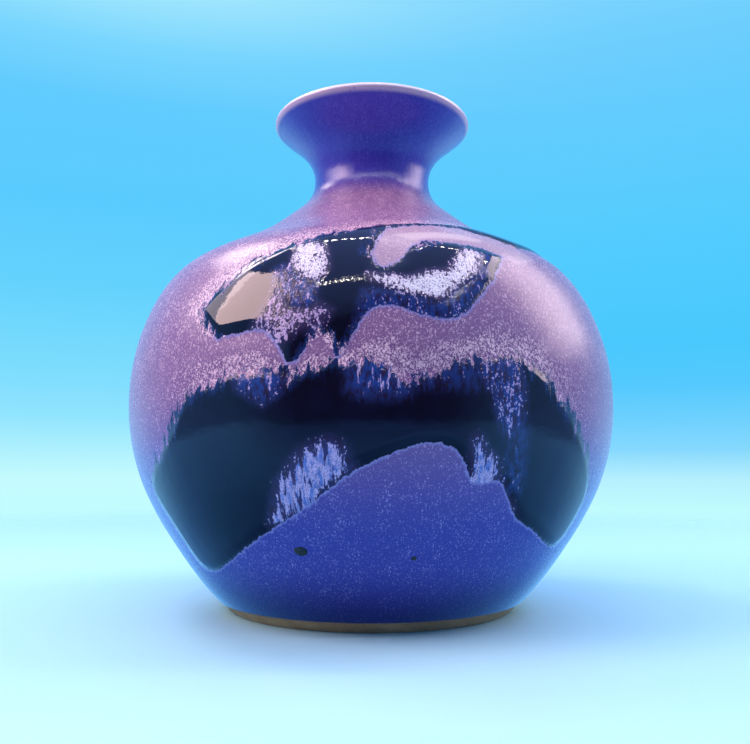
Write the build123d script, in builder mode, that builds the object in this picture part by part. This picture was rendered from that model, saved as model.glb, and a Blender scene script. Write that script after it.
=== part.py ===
"""Ceramic bud vase: a thrown stoneware body, its glaze coats and the glossy pours over them.

Millimetres, +Z up, origin at the centre of the foot, -Y towards the front of the vase.
"""

import math
import os

from build123d import *

# Driving dimensions of the thrown body
height = 105.0
foot_radius = 29.2
foot_bevel = 0.4
glaze_line = (31.6, 2.1)
glaze_line_slope = 45.4
lip_radius = 0.9
lip_centre = (20.7, height - lip_radius)
lip_start = -47.0
throat_radius = 8.6
throat_low = 85.5
throat_high = 91.2
throat_bend = 5.0
floor_height = 8.0
floor_radius = 24.0
recess_depth = 1.8
recess_radius = 23.5
recess_slope = 1.5

# Thickness of each glaze coat, and how far the pours and specks stand out from the coat under them
coat = 0.35
liner = 0.3
pour_lift = 0.55
speck_lift = 0.2

# Outside of the body from the glaze line up to the lip: lower wall, belly, shoulder, neck, flare
outside_nodes = [
    glaze_line, (40.0, 12.6), (47.7, 26.6), (50.3, 44.0), (46.9, 59.0), (40.6, 68.3),
    (34.4, 72.1), (26.0, 76.5), (18.6, 82.0), (13.4, 87.6), (12.8, 93.2), (15.8, 98.6),
]

# Inside of the body from the edge of the floor up to the throat
inside_nodes = [
    (floor_radius, floor_height), (34.4, 13.6), (42.3, 26.4), (45.4, 42.0), (42.9, 57.0),
    (34.6, 66.4), (22.6, 71.8), (11.8, 79.2), (throat_radius, throat_low),
]

# Belly pours, X and Z as seen from the front: two lobes hanging from a band, with an arch between them
belly_pour_edge = [
    (-29.8, 40.6), (-21.6, 43.6), (-10.9, 44.2), (0.7, 45.0), (6.2, 42.6), (12.4, 44.4), (27.0, 45.2),
    (32.4, 40.6), (37.4, 33.4), (39.9, 25.4), (37.4, 18.6), (33.4, 14.3),
    (27.8, 18.0), (23.6, 21.2), (20.8, 26.4), (16.4, 26.4), (14.5, 30.4), (9.8, 32.6),
    (3.4, 31.0), (-3.4, 27.6), (-10.7, 22.0), (-20.9, 15.2), (-29.4, 10.0), (-35.8, 17.8),
    (-39.9, 26.4), (-35.6, 32.6),
]
rear_belly_pour_edge = [
    (-26.0, 40.0), (-8.0, 44.0), (12.0, 42.0), (27.0, 43.0), (36.0, 33.0), (36.5, 22.0), (29.0, 13.5),
    (20.0, 20.0), (9.0, 27.0), (-8.0, 25.0), (-18.0, 18.0), (-27.0, 19.0), (-35.0, 29.0),
]

# Shoulder pours, X and the distance up a plane that leans back by the lean angle through the belly
lean = 45.0
belly_height = 40.0
shoulder_pour_edge = [
    (-29.2, -16.8), (-18.9, -12.2), (-11.7, -10.1), (-4.9, -8.0), (5.0, -3.3), (12.5, 1.2), (22.2, 8.1),
    (31.0, 17.6), (37.8, 27.0), (41.0, 23.3), (38.1, 15.2), (31.9, 4.2), (23.8, -6.2),
    (21.6, -13.0), (17.9, -20.0), (13.0, -25.0), (7.7, -25.2), (2.6, -24.4), (-2.0, -27.4),
    (-5.2, -31.4), (-8.0, -28.6), (-12.0, -31.0), (-15.6, -27.0), (-21.0, -24.6), (-27.4, -22.0),
]
rear_shoulder_pour_edge = [
    (-37.0, 4.0), (-24.0, 1.4), (-7.0, -0.4), (9.7, -1.7), (25.5, -3.7), (33.0, -9.0), (27.0, -17.3),
    (17.8, -25.6), (8.0, -21.0), (-3.3, -19.7), (-12.6, -24.0), (-23.6, -16.1), (-34.0, -5.3),
]

# Iron specks on the lower front wall: X, Z, half width and half height of each
specks = [
    (-11.2, 15.2, 1.2, 0.95),
    (7.1, 14.1, 0.5, 0.45),
]


def around(centre, distance, angle):
    """The point at a distance from a centre, at an angle in degrees."""
    turn = math.radians(angle)
    return (centre[0] + distance * math.cos(turn), centre[1] + distance * math.sin(turn))


def sunk(nodes, curve, depth):
    """The nodes of a curve moved by a depth to its left."""
    moved = []
    for node in nodes:
        along = curve.tangent_at(node)
        moved.append((node[0] - depth * along.Y, node[1] + depth * along.X))
    return moved


def draw_outside(depth):
    """The outside from the glaze line to the start of the lip, at a depth under the glaze."""
    Spline(*sunk(outside_nodes, outside_curve, depth), tangents=outside_slopes)


def draw_outer_lip(depth):
    """The outer half of the lip up to its crest, at a depth under the glaze."""
    start = around(lip_centre, lip_radius - depth, lip_start)
    TangentArc(start, (lip_centre[0], height - depth), tangent=outside_slopes[1])


def draw_inside(depth):
    """The inside from the middle of the floor to the crest of the lip, at a depth under the glaze."""
    nodes = sunk(inside_nodes, inside_curve, -depth)
    throat_end = (nodes[-1][0], throat_high)
    bend_end = around(bend_centre, throat_bend - depth, 135)
    lip_edge = around(lip_centre, lip_radius - depth, 135)
    Line((0, floor_height - depth), nodes[0])
    Spline(*nodes, tangents=inside_slopes)
    Line(nodes[-1], throat_end)
    TangentArc(throat_end, bend_end, tangent=(0, 1))
    Line(bend_end, lip_edge)
    TangentArc(lip_edge, (lip_centre[0], height - depth), tangent=(1, 1))


outside_slopes = [around((0, 0), 1.0, glaze_line_slope), around((0, 0), 1.0, lip_start + 90)]
outside_nodes.append(around(lip_centre, lip_radius, lip_start))
outside_curve = Edge.make_spline(outside_nodes, tangents=outside_slopes)
inside_slopes = [(1, 0), (0, 1)]
inside_curve = Edge.make_spline(inside_nodes, tangents=inside_slopes)
bend_centre = (throat_radius + throat_bend, throat_high)
coat_foot = sunk([glaze_line], outside_curve, coat)[0]
pour_foot = sunk([glaze_line], outside_curve, -pour_lift)[0]
speck_foot = sunk([glaze_line], outside_curve, -speck_lift)[0]

front = Plane(origin=(0, 0, 0), x_dir=(1, 0, 0), z_dir=(0, -1, 0))
back = Plane(origin=(0, 0, 0), x_dir=(-1, 0, 0), z_dir=(0, 1, 0))
lean_in, lean_up = around((0, 0), 1.0, lean)
front_shoulder = Plane(origin=(0, 0, belly_height), x_dir=(1, 0, 0), z_dir=(0, -lean_in, lean_up))
back_shoulder = Plane(origin=(0, 0, belly_height), x_dir=(-1, 0, 0), z_dir=(0, lean_in, lean_up))

os.makedirs("parts", exist_ok=True)

# Base glaze: the matte coat over the whole outside, from the glaze line to the crest of the lip
with BuildPart() as base_glaze:
    with BuildSketch(back):
        with BuildLine():
            draw_outside(0)
            draw_outer_lip(0)
            Line((lip_centre[0], height), (lip_centre[0], height - coat))
            draw_outer_lip(coat)
            draw_outside(coat)
            Line(coat_foot, glaze_line)
        make_face()
    revolve(axis=Axis.Z)
base_glaze.part.label = "base_glaze"
export_step(base_glaze.part, "parts/base_glaze.step")

# Liner glaze: the coat over the whole inside, from the floor to the crest of the lip
with BuildPart() as liner_glaze:
    with BuildSketch(back):
        with BuildLine():
            draw_inside(0)
            Line((lip_centre[0], height), (lip_centre[0], height - liner))
            draw_inside(liner)
            Line((0, floor_height - liner), (0, floor_height))
        make_face()
    revolve(axis=Axis.Z)
liner_glaze.part.label = "liner_glaze"
export_step(liner_glaze.part, "parts/liner_glaze.step")

# Stoneware body: foot ring, floor, wall, shoulder, neck and lip in one thrown piece
with BuildPart() as clay_body:
    with BuildSketch(back):
        with BuildLine():
            draw_inside(liner)
            Line((lip_centre[0], height - liner), (lip_centre[0], height - coat))
            draw_outer_lip(coat)
            draw_outside(coat)
            Polyline(
                coat_foot,
                (foot_radius + foot_bevel, foot_bevel),
                (foot_radius, 0),
                (recess_radius, 0),
                (recess_radius - recess_slope, recess_depth),
                (0, recess_depth),
                (0, floor_height - liner),
            )
        make_face()
    revolve(axis=Axis.Z)
clay_body.part.label = "clay_body"
export_step(clay_body.part, "parts/clay_body.step")

# Pours: second glazes that ran over the base coat and stand out from it
with BuildPart() as pour_coat:
    with BuildSketch(back):
        with BuildLine():
            draw_outside(0)
            draw_outside(-pour_lift)
            Line(pour_foot, glaze_line)
            Line(around(lip_centre, lip_radius, lip_start), around(lip_centre, lip_radius + pour_lift, lip_start))
        make_face()
    revolve(axis=Axis.Z)

pours = {
    "belly_pour": (belly_pour_edge, front),
    "rear_belly_pour": (rear_belly_pour_edge, back),
    "shoulder_pour": (shoulder_pour_edge, front_shoulder),
    "rear_shoulder_pour": (rear_shoulder_pour_edge, back_shoulder),
}
for name, (edge, plane) in pours.items():
    with BuildPart() as pour:
        add(pour_coat.part)
        with BuildSketch(plane):
            with BuildLine():
                Spline(*edge, periodic=True)
            make_face()
        extrude(amount=2 * height, mode=Mode.INTERSECT)
    pour.part.label = name
    export_step(pour.part, f"parts/{name}.step")

# Iron specks: small blisters where iron in the clay bled through the base glaze
with BuildPart() as iron_specks:
    with BuildSketch(back):
        with BuildLine():
            draw_outside(0)
            draw_outside(-speck_lift)
            Line(speck_foot, glaze_line)
            Line(around(lip_centre, lip_radius, lip_start), around(lip_centre, lip_radius + speck_lift, lip_start))
        make_face()
    revolve(axis=Axis.Z)
    with BuildSketch(front):
        for across, level, half_width, half_height in specks:
            with Locations((across, level)):
                Ellipse(half_width, half_height)
    extrude(amount=height, mode=Mode.INTERSECT)
iron_specks.part.label = "iron_specks"
export_step(iron_specks.part, "parts/iron_specks.step")
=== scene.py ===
"""Looks of the ceramic bud vase: satin violet base glaze, dark glossy pours, bare clay foot."""

import math

import bpy
import numpy as np
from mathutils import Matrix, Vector, noise
from mathutils.bvhtree import BVHTree


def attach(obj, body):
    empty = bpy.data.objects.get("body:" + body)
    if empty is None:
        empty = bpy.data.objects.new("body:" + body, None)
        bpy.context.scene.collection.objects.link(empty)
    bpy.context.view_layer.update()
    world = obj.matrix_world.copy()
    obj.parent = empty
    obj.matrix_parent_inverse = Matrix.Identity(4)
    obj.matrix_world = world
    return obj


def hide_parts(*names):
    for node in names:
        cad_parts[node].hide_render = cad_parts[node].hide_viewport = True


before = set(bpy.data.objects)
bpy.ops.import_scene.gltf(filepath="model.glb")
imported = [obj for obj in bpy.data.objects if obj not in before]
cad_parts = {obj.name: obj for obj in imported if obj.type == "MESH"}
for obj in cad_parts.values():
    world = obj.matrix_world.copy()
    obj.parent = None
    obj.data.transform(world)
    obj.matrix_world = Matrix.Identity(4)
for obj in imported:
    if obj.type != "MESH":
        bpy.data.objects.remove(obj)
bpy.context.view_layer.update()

MM = 0.001
PER_METRE = 1000.0
FLOOR_COLOUR = (0.50, 0.86, 0.86)
LED_POWER = 0.036

# In mm: what counts as far from an outline, the margin round one in which distances are worked out, and how
# near a pour's side wall must be for the side that a point is on to be certain
FAR = 9.0
NEARBY = 8.0
WALL_RANGE = 30.0

# Pours, in mm: how high above the outside their edges are measured, how much they rise, how clear of the
# coat they lie, how far outside the edge the rise starts, how long it is, and how far out their meshes go on
POUR_MIDDLE = 0.28
POUR_RISE = 0.42
POUR_CLEAR = 0.012
POUR_HEM = 0.6
POUR_SHOULDER = 2.4
POUR_APRON = 4.0

# A CAD triangle is a pour's side wall when its normal and the surface's have a smaller cosine than this
WALL_TILT = 0.97

# In mm: the way round the belly, and the radius on which the glaze's flow pattern is wrapped
GIRTH = 314
FLOW_RADIUS = 50

# Outside of the glaze from the glaze line to the lip, radius and height in mm
OUTSIDE = [
    (31.6, 2.1), (40.0, 12.6), (47.7, 26.6), (50.3, 44.0), (46.9, 59.0), (40.6, 68.3), (34.4, 72.1),
    (26.0, 76.5), (18.6, 82.0), (13.4, 87.6), (12.8, 93.2), (15.8, 98.6), (21.314, 103.442),
]
LIP_CENTRE = (20.7, 104.1)
LIP_RADIUS = 0.9


def unit(angle):
    return np.array([math.cos(math.radians(angle)), math.sin(math.radians(angle))])


def fine_curve(nodes, start, end, count):
    """A cubic curve through the nodes, leaving and arriving along the given directions."""
    p = np.array(nodes, float)
    gap = np.linalg.norm(np.diff(p, axis=0), axis=1)
    t = np.concatenate([[0.0], np.cumsum(gap)])
    size = len(p)
    a = np.zeros((size, size))
    b = np.zeros((size, 2))
    a[0, 0] = a[-1, -1] = 1.0
    b[0], b[-1] = start, end
    for i in range(1, size - 1):
        before, after = gap[i - 1], gap[i]
        a[i, i - 1], a[i, i], a[i, i + 1] = after, 2 * (before + after), before
        b[i] = 3 * (after * (p[i] - p[i - 1]) / before + before * (p[i + 1] - p[i]) / after)
    slope = np.linalg.solve(a, b)
    at = np.linspace(0, t[-1], count)
    i = np.clip(np.searchsorted(t, at, side="right") - 1, 0, size - 2)
    h = gap[i][:, None]
    s = ((at - t[i]) / gap[i])[:, None]
    return (
        (2 * s**3 - 3 * s**2 + 1) * p[i] + (s**3 - 2 * s**2 + s) * h * slope[i]
        + (-2 * s**3 + 3 * s**2) * p[i + 1] + (s**3 - s**2) * h * slope[i + 1]
    )


def meridian():
    """The glazed outside up to the crest of the lip, as closely spaced points, and the way along them."""
    wall = fine_curve(OUTSIDE, unit(45.4), unit(43.0), 4000)
    turn = np.radians(np.linspace(-47.0, 90.0, 60))[1:]
    lip = np.array(LIP_CENTRE) + LIP_RADIUS * np.stack([np.cos(turn), np.sin(turn)], 1)
    line = np.concatenate([wall, lip])
    along = np.concatenate([[0.0], np.cumsum(np.linalg.norm(np.diff(line, axis=0), axis=1))])
    return line, along


LINE, ALONG = meridian()
SLOPE = np.gradient(LINE, axis=0)
SLOPE /= np.linalg.norm(SLOPE, axis=1)[:, None]


def on_line(s, table):
    return np.interp(s, ALONG, table)


def along_at(level):
    """Distance along the outside at which it reaches a height."""
    return float(np.interp(level, LINE[:, 1], ALONG))


def points_at(azimuth, s, lift=0.0):
    """Points on the glaze in mm, for azimuths in degrees from the front and distances along the outside."""
    a = np.radians(azimuth)
    r, z = on_line(s, LINE[:, 0]), on_line(s, LINE[:, 1])
    tr, tz = on_line(s, SLOPE[:, 0]), on_line(s, SLOPE[:, 1])
    r = r + lift * tz
    z = z - lift * tr
    return np.stack([r * np.sin(a), -r * np.cos(a), z], -1)


def uphill(azimuth, s):
    """Unit directions up the wall, and the azimuth in radians, at points of the outside."""
    a = np.radians(azimuth)
    tr, tz = on_line(s, SLOPE[:, 0]), on_line(s, SLOPE[:, 1])
    return np.stack([tr * np.sin(a), -tr * np.cos(a), tz], 1), a


def eased(share):
    """A share from 0 to 1 that starts and ends gently."""
    share = np.clip(share, 0, 1)
    return share * share * (3 - 2 * share)


def thrown(azimuth, s):
    """How far the surface stands out, in mm, from throwing rings and a slight wobble of the wall."""
    z = on_line(s, LINE[:, 1])
    a = np.radians(azimuth)
    body = np.clip((z - 4) / 10, 0, 1) * np.clip((96 - z) / 10, 0, 1)
    rings = 0.010 * np.sin(z * 0.85 + 0.7 * np.sin(a))
    rings = rings + 0.0025 * np.sin(z * 2.3 + 1.3 * np.cos(a + 0.6))
    wobble = 0.10 * np.sin(2 * a + 0.9 + z * 0.03) + 0.05 * np.sin(3 * a - 1.4 - z * 0.06)
    return (rings + wobble) * body


# Patches of the glaze drawn as outlines of (azimuth, height): how thickly pale crystals lie there, how blue
# the glaze is between them, and how far crystals run down as streaks
ZONES = [
    ("veil", 0.86, 0.25, 0.2, [
        (-16.3, 62.0), (-16.5, 64.0), (-16.7, 65.7), (-12.1, 65.8), (-9.5, 64.4), (-8.4, 60.5),
        (-10.2, 58.7), (-12.7, 58.9), (-15.2, 60.8)]),
    ("blue_drift", 0.34, 1.0, 0.1, [
        (-20.0, 60.8), (-16.3, 62.0), (-15.2, 60.8), (-12.7, 58.9), (-10.2, 58.7), (-10.3, 56.3),
        (-10.1, 54.6), (-11.6, 53.6), (-14.7, 54.1), (-17.9, 56.0), (-19.5, 59.3)]),
    ("mauve_drift", 0.50, 0.3, 0.2, [
        (-19.1, 57.5), (-17.9, 56.0), (-14.7, 54.1), (-11.6, 53.6), (-9.5, 54.5), (-7.0, 53.0),
        (-9.0, 50.0), (-12.9, 50.0), (-15.7, 48.2), (-17.5, 46.7), (-19.7, 49.0), (-22.5, 51.0),
        (-19.8, 55.1)]),
    ("glitter", 0.84, 0.3, 0.1, [
        (-0.5, 59.6), (1.9, 59.2), (7.3, 58.9), (11.5, 60.1), (15.8, 60.7), (21.3, 65.5), (25.3, 64.6),
        (21.9, 60.4), (17.3, 57.9), (13.1, 55.2), (7.8, 56.1), (3.3, 57.1), (0.3, 58.5)]),
    ("deep_blue", 0.24, 0.85, 0.2, [
        (-1.2, 56.4), (3.3, 56.7), (7.8, 55.8), (13.1, 54.9), (17.2, 57.5), (21.9, 60.4), (28.9, 64.4),
        (27.4, 62.8), (18.6, 53.6), (15.5, 51.3), (12.3, 50.5), (9.7, 51.0), (7.6, 52.4), (5.4, 53.0),
        (2.5, 52.7), (-1.2, 51.4), (-2.9, 49.8)]),
    ("tip", 0.0, 1.0, 0.0, [
        (24.5, 65.2), (29.2, 64.8), (22.5, 57.5), (18.6, 53.6), (18.8, 56.0), (22.6, 60.6)]),
    ("left_icicles", 0.80, 0.8, 1.0, [
        (-20.3, 19.8), (-18.4, 23.6), (-16.9, 26.7), (-15.7, 27.5), (-13.7, 29.7), (-11.5, 31.4),
        (-7.5, 32.7), (-5.2, 31.9), (-4.4, 29.2), (-3.4, 28.9), (-7.8, 26.0), (-10.1, 23.7), (-11.8, 21.8),
        (-17.1, 20.0)]),
    ("right_icicles", 0.9, 0.7, 1.0, [
        (19.7, 33.2), (20.7, 32.3), (21.7, 31.0), (23.7, 29.9), (25.4, 26.6), (27.4, 24.3), (30.2, 21.9),
        (32.4, 18.8), (27.8, 19.1), (20.8, 23.8), (18.7, 26.0), (20.0, 28.8), (19.5, 30.4), (19.5, 32.3)]),
    ("blue_run", 0.40, 1.0, 0.3, [
        (19.3, 43.5), (20.2, 44.7), (22.8, 46.5), (25.8, 46.4), (28.3, 45.1), (29.4, 42.1), (29.4, 39.6),
        (29.2, 36.4), (28.2, 34.2), (26.6, 33.7), (24.9, 34.6), (23.2, 38.1), (22.9, 39.9), (20.3, 42.5)]),
    ("blue_trail", 0.16, 0.8, 1.0, [
        (29.4, 36.4), (29.9, 34.2), (30.3, 31.0), (31.0, 25.0), (28.1, 24.4), (26.6, 31.0), (27.0, 35.0)]),
    ("left_fringe", 0.30, 1.0, 0.5, [
        (-26.9, 44.5), (-24.5, 45.2), (-21.5, 45.0), (-17.6, 44.0), (-14.5, 42.7), (-17.2, 39.8),
        (-19.3, 39.0), (-22.2, 40.2), (-24.4, 41.4)]),
    ("middle_fringe", 0.28, 1.0, 0.8, [
        (-3.9, 45.3), (-0.4, 46.2), (3.4, 46.4), (6.9, 45.5), (6.6, 40.1), (2.7, 39.8), (-1.3, 39.8),
        (-3.6, 40.7)]),
    ("right_fringe", 0.14, 0.6, 0.4, [
        (7.7, 45.1), (11.8, 45.6), (15.5, 45.9), (19.3, 45.2), (19.7, 41.0), (14.0, 41.1), (10.2, 41.2),
        (7.7, 41.1)]),
    ("rear_drift", 0.55, 0.8, 0.2, [(150, 63), (172, 66), (186, 60), (176, 50), (160, 47), (148, 53)]),
    ("rear_veil", 0.50, 0.5, 0.3, [(193, 57), (200, 63), (209, 62), (206, 55), (200, 52), (194, 53)]),
    ("rear_fringe", 0.35, 1.0, 0.7, [(150, 47), (170, 48), (192, 46), (190, 39), (168, 40), (150, 41)]),
    ("rear_icicles", 0.80, 0.7, 1.0, [(184, 30), (196, 31), (210, 26), (214, 19), (200, 19), (186, 22)]),
    ("rear_run", 0.34, 1.0, 0.5, [(136, 42), (146, 43), (150, 34), (146, 24), (138, 25), (135, 33)]),
]

# A tongue of base glaze that shows between the arms of the shoulder pour
TONGUE = [
    (1.7, 67.2), (3.8, 69.1), (9.8, 70.4), (16.2, 71.4), (22.0, 71.6), (27.0, 71.6), (33.0, 70.2),
    (40.0, 68.4), (44.0, 66.0), (36.0, 64.0), (30.5, 65.2), (25.7, 66.2), (20.0, 66.5), (15.5, 66.6),
    (12.2, 66.6), (8.5, 64.7), (6.9, 62.6), (4.8, 61.5), (2.7, 60.3), (0.7, 61.8), (-0.1, 63.8),
    (1.2, 65.8)]

# The thin top of that tongue, where the painted reflection of the ceiling lamps is palest
TONGUE_REFLECTION_TOP = [
    (4.0, 67.8), (9.8, 68.6), (16.2, 69.3), (24.0, 69.4), (30.0, 68.4), (27.0, 67.4), (16.0, 67.4),
    (9.0, 66.4)]

# Zones whose crystals get a painted glint of the lamps
GLINTS = ("veil", "glitter")

# Where pale crystals have closed over the lower edge of the shoulder pour, with dark funnels left open
FROST = [
    (-38.0, 55.5), (-34.8, 53.2), (-32.2, 51.0), (-30.2, 49.6), (-27.7, 49.0), (-24.2, 49.2),
    (-21.7, 49.0), (-19.6, 47.0), (-18.6, 44.4), (-17.0, 44.8), (-14.7, 43.1), (-13.0, 44.0),
    (-12.2, 46.5), (-11.2, 48.4), (-9.8, 49.9), (-7.6, 49.5), (-6.4, 46.6), (-5.4, 45.8), (-3.3, 49.5),
    (-1.0, 51.5), (3.0, 51.0), (3.0, 47.0), (-3.0, 45.6), (-8.0, 44.6), (-14.7, 43.0), (-20.0, 45.2),
    (-27.0, 46.0), (-34.0, 47.5), (-42.0, 50.0)]


def zone_reach(azimuth, s, outline):
    """Signed distance in mm to an outline of (azimuth, height) corners, positive inside."""
    corner = np.array(outline, float)
    corner_s = np.interp(corner[:, 1], LINE[:, 1], ALONG)
    middle = corner[:, 0].mean()
    radius = on_line(corner_s.mean(), LINE[:, 0])
    q = np.stack([np.radians(corner[:, 0] - middle) * radius, corner_s], 1)
    turn = (azimuth - middle + 180) % 360 - 180
    p = np.stack([np.radians(turn) * radius, s], 1)
    reach = np.full(len(p), -FAR)
    near = ((p > q.min(0) - NEARBY) & (p < q.max(0) + NEARBY)).all(1)
    p = p[near]
    nxt = np.roll(q, -1, 0)
    best = np.full(len(p), 1e9)
    inside = np.zeros(len(p), bool)
    for (x0, y0), (x1, y1) in zip(q, nxt):
        step = np.array([x1 - x0, y1 - y0])
        share = np.clip(((p - (x0, y0)) @ step) / (step @ step), 0, 1)
        gap = p - (x0, y0) - share[:, None] * step
        best = np.minimum(best, (gap**2).sum(1))
        crosses = (y0 > p[:, 1]) != (y1 > p[:, 1])
        at = x0 + (p[:, 1] - y0) * (x1 - x0) / (y1 - y0 + 1e-12)
        inside ^= crosses & (p[:, 0] < at)
    reach[near] = np.sqrt(best) * np.where(inside, 1, -1)
    return reach


def soft(reach, width):
    """0 well outside an outline to 1 well inside it."""
    return eased(reach / width + 0.5)


class PourEdges:
    """Signed distance in mm to the outline of a pour, from the side walls of its CAD solid."""

    def __init__(self, name):
        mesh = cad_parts[name].data
        mesh.calc_loop_triangles()
        co = np.zeros(len(mesh.vertices) * 3)
        mesh.vertices.foreach_get("co", co)
        co = co.reshape(-1, 3) / MM
        tri = np.zeros(len(mesh.loop_triangles) * 3, int)
        mesh.loop_triangles.foreach_get("vertices", tri)
        tri = tri.reshape(-1, 3)
        corner = co[tri]
        face = np.cross(corner[:, 1] - corner[:, 0], corner[:, 2] - corner[:, 0])
        face /= np.linalg.norm(face, axis=1)[:, None] + 1e-12
        middle = corner.mean(1)
        s = np.interp(middle[:, 2], LINE[:, 1], ALONG)
        a = np.arctan2(middle[:, 0], -middle[:, 1])
        tr, tz = on_line(s, SLOPE[:, 0]), on_line(s, SLOPE[:, 1])
        out = np.stack([tz * np.sin(a), -tz * np.cos(a), -tr], 1)
        walls = tri[np.abs((face * out).sum(1)) < WALL_TILT]
        self.tree = BVHTree.FromPolygons([Vector(c) for c in co], walls.tolist())
        self.low, self.high = co.min(0) - FAR, co.max(0) + FAR

    def measure(self, points, up):
        """Distance, positive inside, and whether the edge is an upper (1) or a lower (-1) one."""
        distance = np.full(len(points), -FAR)
        side = np.zeros(len(points))
        near = np.where(((points > self.low) & (points < self.high)).all(1))[0]
        for i in near:
            p = Vector(points[i])
            at, normal, _, far = self.tree.find_nearest(p)
            if far > WALL_RANGE:
                continue
            away = at - p
            outside = away.dot(normal) < 0
            distance[i] = -far if outside else far
            rise = away.dot(Vector(up[i])) / (far + 1e-6)
            side[i] = -rise if outside else rise
        return distance, side


EDGES = {name: PourEdges(name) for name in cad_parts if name.endswith("_pour")}


def glaze_fields(azimuth, s):
    """Every surface field the glaze material reads, at points of the outside."""
    base = points_at(azimuth, s, POUR_MIDDLE)
    up, a = uphill(azimuth, s)
    edge = np.full(len(base), -FAR)
    side = np.zeros(len(base))
    for outline in EDGES.values():
        distance, rise = outline.measure(base, up)
        closer = distance > edge
        edge[closer], side[closer] = distance[closer], rise[closer]
    tongue = zone_reach(azimuth, s, TONGUE)
    edge = np.minimum(edge, -tongue)
    side = np.where(tongue > -0.6, 0.0, side)
    reflection_top = zone_reach(azimuth, s, TONGUE_REFLECTION_TOP)
    frost = zone_reach(azimuth, s, FROST)
    side = np.where((frost > -1) & (edge > 0), 1.0, side)
    edge = np.where(frost > -6, np.minimum(edge, -frost), edge)
    crystal, blue, run = np.zeros(len(base)), np.zeros(len(base)), np.zeros(len(base))
    glint = np.zeros(len(base))
    for name, thick, tint, runny, outline in ZONES:
        share = soft(zone_reach(azimuth, s, outline), 2.6 + 2.0 * runny)
        if name in GLINTS:
            glint = np.maximum(glint, share)
        crystal = np.maximum(crystal, thick * share)
        blue = np.maximum(blue, tint * share)
        run = np.maximum(run, runny * share)
    return {
        "edge": edge,
        "side": np.clip(side, -1, 1),
        "crystal": crystal,
        "blue": blue,
        "run": run,
        "glint": glint,
        # Share of a painted reflection of the ceiling lamps on the tongue, strongest on its top
        "pale": np.maximum(0.42 * soft(tongue, 1.5), 0.9 * soft(reflection_top, 1.8)),
        "flow": np.stack([FLOW_RADIUS * np.sin(a), -FLOW_RADIUS * np.cos(a), s], 1),
    }


def make_mesh(name, points, faces, fields, material):
    """A smooth mesh object of quads, from points in mm, with its fields as point attributes."""
    mesh = bpy.data.meshes.new(name)
    mesh.vertices.add(len(points))
    mesh.vertices.foreach_set("co", (points * MM).astype(np.float32).ravel())
    flat = np.asarray(faces, np.int32)
    mesh.loops.add(flat.size)
    mesh.loops.foreach_set("vertex_index", flat.ravel())
    mesh.polygons.add(len(flat))
    mesh.polygons.foreach_set("loop_start", np.arange(0, flat.size, 4, dtype=np.int32))
    mesh.update(calc_edges=True)
    mesh.validate()
    mesh.polygons.foreach_set("use_smooth", np.ones(len(mesh.polygons), bool))
    for key, values in fields.items():
        kind = "FLOAT_VECTOR" if values.ndim == 2 else "FLOAT"
        layer = mesh.attributes.new(key, kind, "POINT")
        layer.data.foreach_set("vector" if values.ndim == 2 else "value", values.astype(np.float32).ravel())
    mesh.materials.append(material)
    piece = bpy.data.objects.new(name, mesh)
    bpy.context.scene.collection.objects.link(piece)
    return piece


def ring_faces(columns, rows):
    """Quads of a closed grid of rows of points round the axis."""
    c, r = np.meshgrid(np.arange(columns), np.arange(rows - 1))
    n = (c + 1) % columns
    low, high = r * columns, (r + 1) * columns
    return np.stack([low + c, low + n, high + n, high + c], -1).reshape(-1, 4)


def open_faces(columns, rows):
    """Quads of an open grid of points."""
    c, r = np.meshgrid(np.arange(columns - 1), np.arange(rows - 1))
    low = r * columns + c
    return np.stack([low, low + 1, low + columns + 1, low + columns], -1).reshape(-1, 4)


# ---------------------------------------------------------------- materials


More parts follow.
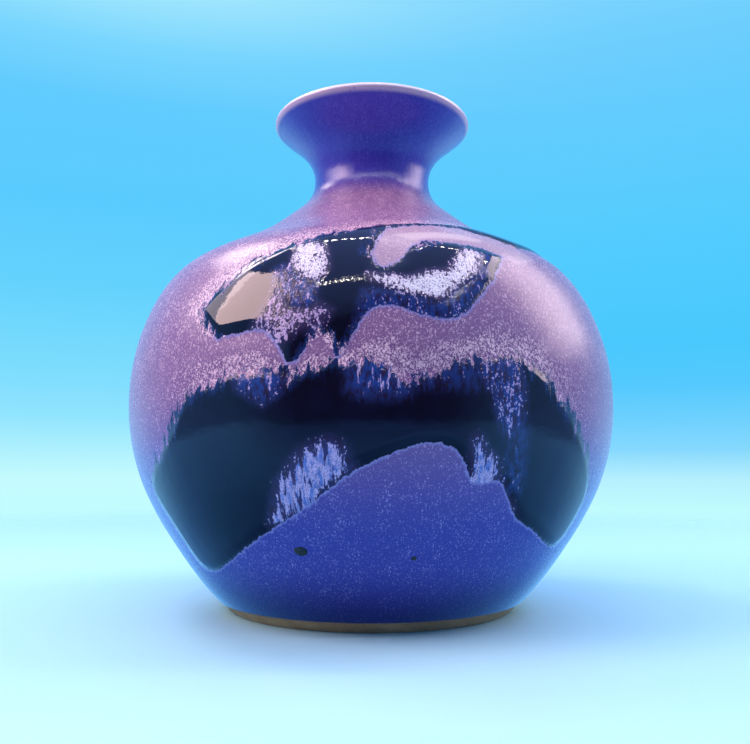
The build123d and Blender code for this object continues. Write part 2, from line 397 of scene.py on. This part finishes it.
class Graph:
    """A material's node tree, with short ways to add nodes to it."""

    def __init__(self, name):
        self.material = bpy.data.materials.new(name)
        self.material.use_nodes = True
        self.tree = self.material.node_tree
        self.tree.nodes.clear()
        self.out = self.tree.nodes.new("ShaderNodeOutputMaterial")

    def add(self, kind, **settings):
        made = self.tree.nodes.new("ShaderNode" + kind)
        for key, value in settings.items():
            setattr(made, key, value)
        return made

    def put(self, value, socket):
        if isinstance(value, bpy.types.NodeSocket):
            self.tree.links.new(value, socket)
        else:
            socket.default_value = value

    def math(self, operation, *values):
        made = self.add("Math", operation=operation)
        for value, socket in zip(values, made.inputs):
            self.put(value, socket)
        return made.outputs[0]

    def span(self, value, low, high, to_low=0.0, to_high=1.0):
        made = self.add("MapRange", interpolation_type="SMOOTHSTEP", clamp=True)
        for number, socket in zip((value, low, high, to_low, to_high), made.inputs):
            self.put(number, socket)
        return made.outputs[0]

    def mix(self, share, first, second):
        made = self.add("Mix", data_type="RGBA", clamp_factor=True)
        self.put(share, made.inputs["Factor"])
        colours = [socket for socket in made.inputs if socket.type == "RGBA"]
        for value, socket in zip((first, second), colours):
            self.put((*value, 1.0) if isinstance(value, tuple) else value, socket)
        return next(socket for socket in made.outputs if socket.type == "RGBA")

    def attribute(self, name, output="Fac"):
        return self.add("Attribute", attribute_type="GEOMETRY", attribute_name=name).outputs[output]

    def scaled(self, vector, x, y, z):
        made = self.add("Mapping", vector_type="POINT")
        self.put(vector, made.inputs["Vector"])
        made.inputs["Scale"].default_value = (x, y, z)
        return made.outputs[0]

    def noise(self, vector, scale, detail, rough):
        made = self.add("TexNoise", noise_dimensions="3D")
        self.put(vector, made.inputs["Vector"])
        made.inputs["Scale"].default_value = scale
        made.inputs["Detail"].default_value = detail
        made.inputs["Roughness"].default_value = rough
        return made.outputs["Fac"]

    def between(self, share, first, second):
        made = self.add("Mix", data_type="FLOAT")
        for value, socket in zip((share, first, second), (made.inputs[0], made.inputs[2], made.inputs[3])):
            self.put(value, socket)
        return made.outputs[0]

    def bump(self, relief, strength):
        """Surface directions tilted by a relief in mm."""
        made = self.add("Bump")
        made.inputs["Strength"].default_value = strength
        made.inputs["Distance"].default_value = MM
        self.put(relief, made.inputs["Height"])
        return made.outputs[0]

    def finish(self, colour, roughness):
        """The shader of the material, with its colour and roughness joined to it."""
        made = self.add("BsdfPrincipled")
        self.put(colour, made.inputs["Base Color"])
        self.put(roughness, made.inputs["Roughness"])
        self.put(made.outputs[0], self.out.inputs[0])
        return made

    def centred(self, value, amount):
        """A noise value moved to swing about nought by an amount."""
        return self.math("MULTIPLY", self.math("SUBTRACT", value, 0.5), amount)


# Linear colours of the base glaze, its ground and the haze of crystals on it: low on the wall, high on it,
# close above a pour, and on the neck. Low, high and neck colours carry painted light in part: bluer low for
# the floor's blue light, pinker high under the lamps, and darker on the neck as painted shade
GROUND_LOW = (0.048, 0.054, 0.33)
GROUND_HIGH = (0.31, 0.15, 0.27)
GROUND_FELT = (0.20, 0.08, 0.19)
GROUND_NECK = (0.050, 0.036, 0.31)
HAZE_LOW = (0.27, 0.27, 0.66)
HAZE_HIGH = (0.66, 0.37, 0.45)
HAZE_FELT = (1.0, 0.64, 0.66)
HAZE_NECK = (0.13, 0.10, 0.46)

# Marks on the base glaze: painted shade by the foot, a painted reflection of the ceiling lamps on the
# tongue, a mauve painted reflection and a pale painted highlight at the lip, and a thicker line of crystals
# at the pours' lower edges
FOOT_PAINTED_SHADE = (0.008, 0.006, 0.10)
TONGUE_PAINTED_REFLECTION = (0.80, 0.60, 0.56)
LIP_MAUVE_REFLECTION = (0.62, 0.36, 0.42)
LIP_CREST_HIGHLIGHT = (0.98, 0.84, 0.82)
EDGE_LINE = (0.36, 0.36, 0.72)

# The pours, and the crystals in them
POUR_BLACK = (0.0015, 0.002, 0.008)
POUR_NIGHT = (0.003, 0.003, 0.014)
POUR_BLUE = (0.022, 0.060, 0.25)
POUR_PLUM = (0.10, 0.05, 0.14)
CRYSTAL_BLUE = (0.13, 0.22, 0.58)
CRYSTAL_LAVENDER = (0.56, 0.46, 0.72)
CRYSTAL_MAUVE = (0.66, 0.42, 0.56)
CRYSTAL_DEPTH = (0.03, 0.03, 0.25)
CRYSTAL_PAINTED_GLINT = (1.0, 0.90, 0.86)


def glaze_material(name, painted):
    """The fired glaze. Painted surfaces carry the pours' fields; others are base glaze throughout."""
    g = Graph(name)
    place = g.add("TexCoord").outputs["Object"]
    if painted:
        flow = g.attribute("flow", "Vector")
        edge, side = g.attribute("edge"), g.attribute("side")
        crystal, tint, run = g.attribute("crystal"), g.attribute("blue"), g.attribute("run")
        glint, tongue_reflection = g.attribute("glint"), g.attribute("pale")
    else:
        flow = g.scaled(place, PER_METRE, PER_METRE, PER_METRE)
        edge, side, crystal, tint, run, glint, tongue_reflection = -FAR, 0.0, 0.0, 0.0, 0.0, 0.0, 0.0
    split = g.add("SeparateXYZ")
    g.put(place, split.inputs[0])
    level = g.math("MULTIPLY", split.outputs[2], PER_METRE)

    tall = g.noise(g.scaled(flow, 1.0, 1.0, 0.30), 0.55, 3.0, 0.55)
    teeth = g.noise(g.scaled(flow, 1.0, 1.0, 0.42), 1.3, 2.0, 0.6)
    grain = g.noise(g.scaled(flow, 1.0, 1.0, 0.75), 2.6, 2.0, 0.6)
    broad = g.noise(flow, 0.09, 3.0, 0.55)
    cloud = g.noise(flow, 0.35, 3.0, 0.6)
    speck = g.noise(g.scaled(flow, 1.0, 1.0, 0.8), 4.4, 2.0, 0.65)
    streak = g.noise(g.scaled(flow, 1.0, 1.0, 0.16), 1.5, 3.0, 0.65)

    upper = g.span(side, -0.15, 0.5)
    ragged = g.math("MULTIPLY", g.math("SUBTRACT", tall, 0.5), g.math("MULTIPLY_ADD", upper, 6.0, 0.8))
    comb = g.math("MULTIPLY_ADD", upper, 4.0, 0.9)
    ragged = g.math("MULTIPLY_ADD", g.math("SUBTRACT", teeth, 0.5), comb, ragged)
    dust = g.math("MULTIPLY_ADD", upper, 2.6, 0.7)
    ragged = g.math("MULTIPLY_ADD", g.math("SUBTRACT", grain, 0.5), dust, ragged)
    reach = g.math("ADD", edge, ragged)
    dark = g.span(reach, -0.08, 0.08)

    # Crystals that float in the pour: angular flecks, drawn out into streaks where the glaze ran
    shard = g.math("ADD", g.math("MULTIPLY", grain, 0.6), g.math("MULTIPLY", teeth, 0.4))
    drawn = g.between(run, shard, streak)
    cut = g.math("MULTIPLY_ADD", crystal, -0.26, 0.625)
    flecks = g.span(drawn, cut, g.math("ADD", cut, 0.035))
    flecks = g.math("MULTIPLY", flecks, g.span(crystal, 0.02, 0.12))
    fringe = g.math("MULTIPLY", g.math("SUBTRACT", 1.0, g.span(reach, 0.2, 2.6)), upper)
    blue = g.math("MAXIMUM", tint, g.math("MULTIPLY", fringe, 0.55))
    blue = g.math("MULTIPLY", blue, g.span(teeth, 0.32, 0.6))

    # Base glaze: a violet ground under a felt of finer, paler crystals
    near_top = g.math("MULTIPLY", g.span(edge, -FAR, -0.5), upper)
    band = g.span(level, 30.0, 50.0)
    felt = g.math("MULTIPLY", g.math("MAXIMUM", g.math("MULTIPLY", band, 0.35), near_top), band)
    mottled = g.math("ADD", g.math("MULTIPLY", speck, 0.55), g.math("MULTIPLY", grain, 0.45))
    mottled = g.math("ADD", mottled, g.centred(cloud, 0.16))
    felt_cut = g.math("MULTIPLY_ADD", felt, -0.10, 0.53)
    felted = g.span(mottled, felt_cut, g.math("ADD", felt_cut, 0.14))
    # Partly painted light: ground and haze turn from blue low on the wall, for the floor's blue light, to
    # pinker high up under the lamps
    climb = g.span(level, 17.0, 47.0)
    # Partly painted shade: darker indigo from the upper neck up, where the neck and flare turn to face down
    indigo = g.span(level, 83.0, 90.0)
    ground = g.mix(climb, GROUND_LOW, GROUND_HIGH)
    ground = g.mix(felt, ground, GROUND_FELT)
    ground = g.mix(indigo, ground, GROUND_NECK)
    haze = g.mix(climb, HAZE_LOW, HAZE_HIGH)
    haze = g.mix(felt, haze, HAZE_FELT)
    haze = g.mix(indigo, haze, HAZE_NECK)
    base = g.mix(felted, ground, haze)
    base = g.mix(g.math("MULTIPLY", g.span(broad, 0.45, 0.75), 0.25), base, ground)
    # Painted shade: the glaze darkens to indigo towards the floor, for the shadow under the vase that it
    # mirrors
    base = g.mix(g.math("MULTIPLY", g.span(level, 13.0, 2.0), 0.92), base, FOOT_PAINTED_SHADE)
    # Painted reflection of the ceiling lamps on the tongue
    base = g.mix(tongue_reflection, base, TONGUE_PAINTED_REFLECTION)

    # Painted light at the lip: a mauve painted reflection of the light from above on the band below the
    # crest, and a pale painted highlight on the crest
    lip_band_reflection = g.math("MULTIPLY", g.span(level, 102.9, 103.6), g.span(g.noise(flow, 0.8, 2.0, 0.5), 0.15, 0.4))
    base = g.mix(g.math("MULTIPLY", lip_band_reflection, 0.95), base, LIP_MAUVE_REFLECTION)
    base = g.mix(g.span(level, 103.9, 104.4), base, LIP_CREST_HIGHLIGHT)

    # A thin pale line where the pour's lower edge piled up crystals
    line = g.math("MULTIPLY", g.span(reach, -0.55, -0.1), g.math("SUBTRACT", 1.0, upper))
    base = g.mix(g.math("MULTIPLY", line, 0.5), base, EDGE_LINE)

    deep = g.mix(g.span(cloud, 0.35, 0.7), POUR_BLACK, POUR_NIGHT)
    deep = g.mix(g.math("MULTIPLY", blue, 0.9), deep, POUR_BLUE)
    deep = g.mix(g.math("MULTIPLY", crystal, g.math("SUBTRACT", 0.9, blue)), deep, POUR_PLUM)
    cool = g.mix(g.span(teeth, 0.35, 0.6), CRYSTAL_BLUE, CRYSTAL_LAVENDER)
    cool = g.mix(g.span(level, 32.0, 46.0), cool, CRYSTAL_MAUVE)
    cool = g.mix(g.span(speck, 0.38, 0.56), g.mix(0.55, cool, CRYSTAL_DEPTH), cool)
    # Painted glint: crystals in the glint zones are coloured near white where the lamps would glint on them
    cool = g.mix(g.math("MULTIPLY", glint, g.span(speck, 0.36, 0.52)), cool, CRYSTAL_PAINTED_GLINT)
    deep = g.mix(flecks, deep, cool)
    colour = g.mix(dark, base, deep)

    roughness = g.math("MULTIPLY_ADD", speck, 0.12, g.span(level, 76.0, 86.0, 0.20, 0.13))
    gloss = g.math("MULTIPLY_ADD", flecks, 0.10, 0.04)

    relief = g.math("MULTIPLY", g.math("SUBTRACT", 1.0, dark), g.math("MULTIPLY", speck, 0.03))
    relief = g.math("MULTIPLY_ADD", g.span(reach, -0.25, 0.55), 0.16, relief)
    pitted = g.math("MULTIPLY", g.math("MULTIPLY", grain, dark), g.span(crystal, 0.05, 0.5))
    relief = g.math("MULTIPLY_ADD", pitted, 0.22, relief)
    relief = g.math("MULTIPLY_ADD", cloud, 0.06, relief)

    shader = g.finish(colour, g.between(dark, roughness, gloss))
    g.put(g.bump(relief, 0.55), shader.inputs["Normal"])
    shader.inputs["IOR"].default_value = 1.52
    return g.material


def clay_material():
    """Bare fired stoneware: tan, matt, with fine grog and a darker toasted edge near the glaze."""
    g = Graph("stoneware")
    place = g.scaled(g.add("TexCoord").outputs["Object"], PER_METRE, PER_METRE, PER_METRE)
    split = g.add("SeparateXYZ")
    g.put(place, split.inputs[0])
    tone = g.noise(place, 0.25, 4.0, 0.6)
    grog = g.noise(place, 2.6, 3.0, 0.7)
    body = g.mix(g.span(tone, 0.3, 0.7), (0.44, 0.25, 0.11), (0.58, 0.36, 0.17))
    body = g.mix(g.span(grog, 0.6, 0.72), body, (0.16, 0.10, 0.07))
    body = g.mix(g.math("MULTIPLY", g.span(split.outputs[2], 1.2, 2.3), 0.7), body, (0.34, 0.17, 0.08))
    relief = g.math("MULTIPLY_ADD", grog, 0.12, g.math("MULTIPLY", tone, 0.15))
    shader = g.finish(body, g.math("MULTIPLY_ADD", grog, 0.2, 0.72))
    g.put(g.bump(relief, 0.8), shader.inputs["Normal"])
    return g.material


def iron_material():
    """Iron that bled through the glaze: mottled dark olive."""
    g = Graph("iron_bleed")
    place = g.scaled(g.add("TexCoord").outputs["Object"], PER_METRE, PER_METRE, PER_METRE)
    mottle = g.noise(place, 2.2, 3.0, 0.6)
    colour = g.mix(g.span(mottle, 0.35, 0.65), (0.010, 0.016, 0.016), (0.035, 0.045, 0.035))
    g.finish(colour, g.math("MULTIPLY_ADD", mottle, 0.2, 0.28))
    return g.material


painted_glaze = glaze_material("painted_glaze", True)
plain_glaze = glaze_material("liner_glaze", False)
stoneware = clay_material()
iron = iron_material()

# ---------------------------------------------------------------- the outside glaze

COLUMNS, ROWS = 560, 400
steps = np.linspace(0, ALONG[-1], ROWS)
turns = np.arange(COLUMNS) * 360.0 / COLUMNS - 180.0
azimuth = np.tile(turns, ROWS)
s = np.repeat(steps, COLUMNS)
skin = make_mesh(
    "base_glaze_coat",
    points_at(azimuth, s, thrown(azimuth, s)),
    ring_faces(COLUMNS, ROWS),
    glaze_fields(azimuth, s),
    painted_glaze,
)
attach(skin, "root")
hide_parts("base_glaze")


def pour_shell(name, node, turn_range, level_range, pitch):
    """A raised pour over its own stretch of the outside, feathered down to the coat round its edge."""
    low, high = along_at(level_range[0]), along_at(level_range[1])
    columns = int((turn_range[1] - turn_range[0]) / 360 * GIRTH / pitch)
    rows = int((high - low) / pitch)
    across = np.linspace(*turn_range, columns)
    azimuth = np.tile(across, rows)
    s = np.repeat(np.linspace(low, high, rows), columns)
    fields = glaze_fields(azimuth, s)
    own = EDGES[node]
    mine, _ = own.measure(points_at(azimuth, s, POUR_MIDDLE), uphill(azimuth, s)[0])
    rise = eased((np.minimum(mine, fields["edge"]) + POUR_HEM) / POUR_SHOULDER)
    points = points_at(azimuth, s, thrown(azimuth, s) + POUR_CLEAR + POUR_RISE * rise)
    faces = open_faces(columns, rows)
    faces = faces[(mine[faces] > -POUR_APRON).any(1)]
    used = np.unique(faces)
    index = np.full(len(points), -1)
    index[used] = np.arange(len(used))
    fields = {key: values[used] for key, values in fields.items()}
    piece = make_mesh(name, points[used], index[faces], fields, painted_glaze)
    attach(piece, "root")
    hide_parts(node)


pour_shell("front_belly_pour", "belly_pour", (-66, 78), (4.5, 52), 0.42)
pour_shell("front_shoulder_pour", "shoulder_pour", (-46, 112), (38, 78), 0.42)
pour_shell("back_belly_pour", "rear_belly_pour", (106, 244), (6, 50), 0.5)
pour_shell("back_shoulder_pour", "rear_shoulder_pour", (108, 236), (40, 78), 0.5)

# ---------------------------------------------------------------- iron specks


# Azimuth, height, half width and half height of each blister, and the seed of its outline
BLISTERS = [(-15.6, 15.2, 1.25, 0.95, 3.1), (10.0, 14.1, 0.5, 0.45, 8.4)]
BLISTER_RISE = 0.13


def blister(azimuth, level, wide, tall, seed):
    """A low irregular dome on the glaze, with a ragged outline."""
    rings, corners = 9, 40
    grid = [(0.0, 0.0)]
    for ring in range(1, rings + 1):
        for corner in range(corners):
            turn = 2 * math.pi * corner / corners
            ragged = 1 + 0.22 * noise.noise(Vector((math.cos(turn) * 1.4, math.sin(turn) * 1.4, seed)))
            reach = ring / rings * ragged
            grid.append((reach * math.cos(turn), reach * math.sin(turn)))
    grid = np.array(grid)
    s0 = along_at(level)
    turn = azimuth + np.degrees(grid[:, 0] * wide / on_line(s0, LINE[:, 0]))
    s = s0 + grid[:, 1] * tall
    far = np.clip(np.linalg.norm(grid, axis=1), 0, 1)
    points = points_at(turn, s, thrown(turn, s) - 0.01 + BLISTER_RISE * (1 - far**3))
    faces = []
    for ring in range(rings - 1):
        for corner in range(corners):
            nxt = (corner + 1) % corners
            low = 1 + ring * corners
            high = low + corners
            faces.append((low + corner, low + nxt, high + nxt, high + corner))
    return points, faces, corners


def make_specks():
    all_points, quads, fans = [], [], []
    offset = 0
    for place in BLISTERS:
        points, faces, corners = blister(*place)
        all_points.append(points)
        quads += [tuple(i + offset for i in face) for face in faces]
        fans += [(offset, offset + 1 + c, offset + 1 + (c + 1) % corners) for c in range(corners)]
        offset += len(points)
    points = np.concatenate(all_points)
    mesh = bpy.data.meshes.new("iron_blisters")
    mesh.from_pydata([tuple(p * MM) for p in points], [], quads + fans)
    mesh.polygons.foreach_set("use_smooth", np.ones(len(mesh.polygons), bool))
    mesh.materials.append(iron)
    piece = bpy.data.objects.new("iron_blisters", mesh)
    bpy.context.scene.collection.objects.link(piece)
    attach(piece, "root")
    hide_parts("iron_specks")


make_specks()

# ---------------------------------------------------------------- CAD nodes that stay

for node, material in (("clay_body", stoneware), ("liner_glaze", plain_glaze)):
    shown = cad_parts[node]
    shown.data.materials.clear()
    shown.data.materials.append(material)

# ---------------------------------------------------------------- floor, light and camera


def floor_material():
    """Pale and matt, fading out some way from the vase, and left out of what its gloss mirrors."""
    g = Graph("pale_floor")
    place = g.add("TexCoord").outputs["Object"]
    length = g.add("VectorMath", operation="LENGTH")
    g.put(place, length.inputs[0])
    shader = g.add("BsdfPrincipled")
    shader.inputs["Base Color"].default_value = (*FLOOR_COLOUR, 1.0)
    shader.inputs["Roughness"].default_value = 0.5
    clear = g.add("BsdfTransparent")
    fade = g.add("MixShader")
    mirrored = g.add("LightPath").outputs["Is Glossy Ray"]
    g.put(g.math("MAXIMUM", g.span(length.outputs["Value"], 0.10, 0.40), mirrored), fade.inputs[0])
    g.put(shader.outputs[0], fade.inputs[1])
    g.put(clear.outputs[0], fade.inputs[2])
    g.put(fade.outputs[0], g.out.inputs[0])
    return g.material


def make_floor():
    mesh = bpy.data.meshes.new("floor")
    corners = [(math.cos(2 * math.pi * i / 96), math.sin(2 * math.pi * i / 96), 0.0) for i in range(96)]
    mesh.from_pydata(corners, [], [list(range(96))])
    mesh.materials.append(floor_material())
    floor = bpy.data.objects.new("floor", mesh)
    bpy.context.scene.collection.objects.link(floor)


# Backdrop by the sine of elevation, at its left and at its right
SWEEP_LEFT = [
    (-0.060, (0.54, 0.98, 0.99)), (-0.02, (0.56, 0.965, 0.99)), (0.016, (0.42, 0.87, 0.99)),
    (0.054, (0.283, 0.776, 0.99)), (0.0915, (0.223, 0.73, 0.99)), (0.142, (0.175, 0.694, 0.98)),
    (0.204, (0.13, 0.644, 0.985)), (0.30, (0.102, 0.60, 0.99)), (0.41, (0.119, 0.597, 0.99)),
    (0.468, (0.195, 0.672, 0.99)), (0.52, (0.36, 0.80, 0.99)),
]
SWEEP_RIGHT = [
    (-0.060, (0.54, 0.98, 0.99)), (-0.02, (0.47, 0.87, 0.99)), (0.016, (0.235, 0.69, 0.99)),
    (0.054, (0.15, 0.63, 0.99)), (0.0915, (0.09, 0.585, 0.985)), (0.142, (0.066, 0.58, 0.985)),
    (0.204, (0.076, 0.59, 0.99)), (0.30, (0.095, 0.604, 0.985)), (0.41, (0.127, 0.604, 0.99)),
    (0.468, (0.153, 0.617, 0.985)), (0.52, (0.2, 0.65, 0.99)),
]
# What lights the vase and shows in its gloss: the blue sweep and floor at the sides, a dark room in front
ROOM = [
    (-1.0, (0.02, 0.06, 0.25)), (-0.60, (0.06, 0.20, 0.60)), (-0.45, (0.12, 0.36, 1.0)),
    (-0.26, (0.10, 0.24, 0.75)), (-0.19, (0.05, 0.055, 0.18)), (0.05, (0.07, 0.05, 0.17)),
    (0.55, (0.05, 0.045, 0.10)), (0.80, (0.24, 0.38, 1.0)), (1.0, (0.38, 0.58, 1.5)),
]
SIDES = [
    (-1.0, (0.03, 0.10, 0.35)), (-0.65, (0.10, 0.40, 1.0)), (-0.45, (0.18, 0.62, 1.5)),
    (-0.20, (0.26, 0.78, 1.8)), (-0.15, (0.16, 0.40, 1.0)), (0.10, (0.16, 0.36, 0.85)),
    (0.55, (0.12, 0.30, 0.75)), (0.80, (0.26, 0.42, 1.1)), (1.0, (0.38, 0.58, 1.5)),
]
REAR = [
    (-1.0, (0.04, 0.15, 0.45)), (-0.60, (0.14, 0.50, 1.2)), (-0.50, (0.18, 0.62, 1.5)),
    (-0.27, (0.45, 1.25, 2.2)), (-0.02, (0.45, 1.05, 1.6)), (0.10, (0.20, 0.72, 1.3)),
    (0.55, (0.10, 0.58, 1.2)), (0.80, (0.20, 0.52, 1.1)), (1.0, (0.38, 0.58, 1.5)),
]


def make_world():
    """A pale blue backdrop for the camera, and a darker room that lights the vase and shows in its gloss."""
    world = bpy.data.worlds.new("light_box")
    world.use_nodes = True
    tree = world.node_tree
    tree.nodes.clear()

    def add(kind):
        return tree.nodes.new("ShaderNode" + kind)

    def link(a, b):
        tree.links.new(a, b)

    direction = add("TexCoord")
    split = add("SeparateXYZ")
    link(direction.outputs["Generated"], split.inputs[0])

    def ramp(stops):
        reach = add("MapRange")
        link(split.outputs["Z"], reach.inputs[0])
        reach.inputs[1].default_value, reach.inputs[2].default_value = stops[0][0], stops[-1][0]
        made = add("ValToRGB")
        link(reach.outputs[0], made.inputs[0])
        span = stops[-1][0] - stops[0][0]
        while len(made.color_ramp.elements) < len(stops):
            made.color_ramp.elements.new(0.5)
        for element, (at, _) in zip(made.color_ramp.elements, stops):
            element.position = (at - stops[0][0]) / span
        for element, (_, colour) in zip(made.color_ramp.elements, stops):
            element.color = (*colour, 1.0)
        return made.outputs[0]

    def blend(share, first, second):
        made = add("Mix")
        made.data_type = "RGBA"
        link(share, made.inputs[0])
        link(first, made.inputs[6])
        link(second, made.inputs[7])
        return made.outputs[2]

    def share_of(axis, low, high):
        made = add("MapRange")
        made.interpolation_type = "SMOOTHSTEP"
        link(split.outputs[axis], made.inputs[0])
        made.inputs[1].default_value, made.inputs[2].default_value = low, high
        return made.outputs[0]

    backdrop = blend(share_of("X", -0.30, 0.30), ramp(SWEEP_LEFT), ramp(SWEEP_RIGHT))
    around = blend(share_of("Y", -0.90, -0.40), ramp(ROOM), ramp(SIDES))
    around = blend(share_of("Y", 0.10, 0.65), around, ramp(REAR))
    seen = add("LightPath")
    picked = blend(seen.outputs["Is Camera Ray"], around, backdrop)
    glow = add("Background")
    link(picked, glow.inputs[0])
    out = add("OutputWorld")
    link(glow.outputs[0], out.inputs[0])
    bpy.context.scene.world = world


# Height in metres of the point that the panels face
MIDDLE_HEIGHT = 0.055


def place_light(data, location, facing=None):
    light = bpy.data.objects.new(data.name, data)
    light.location = location
    light.visible_camera = False
    if facing is not None:
        light.rotation_euler = facing.to_track_quat("Z", "Y").to_euler()
    bpy.context.scene.collection.objects.link(light)


def area_light(name, azimuth, elevation, distance, width, height, radiance, colour):
    """A soft panel that faces the middle of the vase from an azimuth (0 is the front) and elevation."""
    a, e = math.radians(azimuth), math.radians(elevation)
    back = Vector((math.sin(a) * math.cos(e), -math.cos(a) * math.cos(e), math.sin(e)))
    data = bpy.data.lights.new(name, "AREA")
    data.shape = "RECTANGLE"
    data.size, data.size_y = width, height
    data.energy, data.color = radiance * math.pi * width * height, colour
    place_light(data, Vector((0, 0, MIDDLE_HEIGHT)) + back * distance, back)


def led_loop():
    """The loop of small lamps in the ceiling of the light box, in metres."""
    left, right, front, back, height, gap = -0.145, 0.245, -0.262, -0.004, 0.40, 0.0163
    places = []
    for i in range(round((right - left) / gap) + 1):
        places += [(left + i * gap, front), (left + i * gap, back)]
    for i in range(1, round((back - front) / gap)):
        places += [(left, front + i * gap), (right, front + i * gap)]
    for x, y in places:
        data = bpy.data.lights.new("led", "POINT")
        data.energy = LED_POWER
        data.color = (1.0, 0.90, 0.80)
        data.shadow_soft_size = 0.0026
        place_light(data, (x, y, height))


# The camera's focal length in pixels of a picture this wide, its place in metres, and its angles in degrees
FOCAL_PIXELS, PICTURE_WIDTH = 789.46, 750
CAMERA_PLACE = (0.0008, -0.170968, 0.029479)
CAMERA_RISE, CAMERA_ROLL = 6.555, -0.1


def make_camera():
    data = bpy.data.cameras.new("camera")
    data.sensor_width = 36.0
    data.lens = FOCAL_PIXELS / PICTURE_WIDTH * data.sensor_width
    data.clip_start, data.clip_end = 0.01, 10.0
    camera = bpy.data.objects.new("camera", data)
    camera.location = CAMERA_PLACE
    camera.rotation_euler = (math.radians(90 + CAMERA_RISE), math.radians(CAMERA_ROLL), 0.0)
    bpy.context.scene.collection.objects.link(camera)
    bpy.context.scene.camera = camera


make_floor()
make_world()
area_light("left_panel", -65, 37, 0.45, 0.18, 0.21, 9.5, (1.0, 0.70, 0.68))
area_light("left_panel_edge", -89, 37, 0.45, 0.17, 0.21, 3.6, (0.9, 0.74, 0.80))
area_light("right_panel", 102, 34, 0.45, 0.24, 0.30, 5.0, (1.0, 0.78, 0.80))
area_light("back_left_panel", -116, 53, 0.42, 0.11, 0.13, 10.0, (1.0, 0.80, 0.80))
led_loop()
make_camera()
bpy.context.scene.view_settings.view_transform = "Standard"
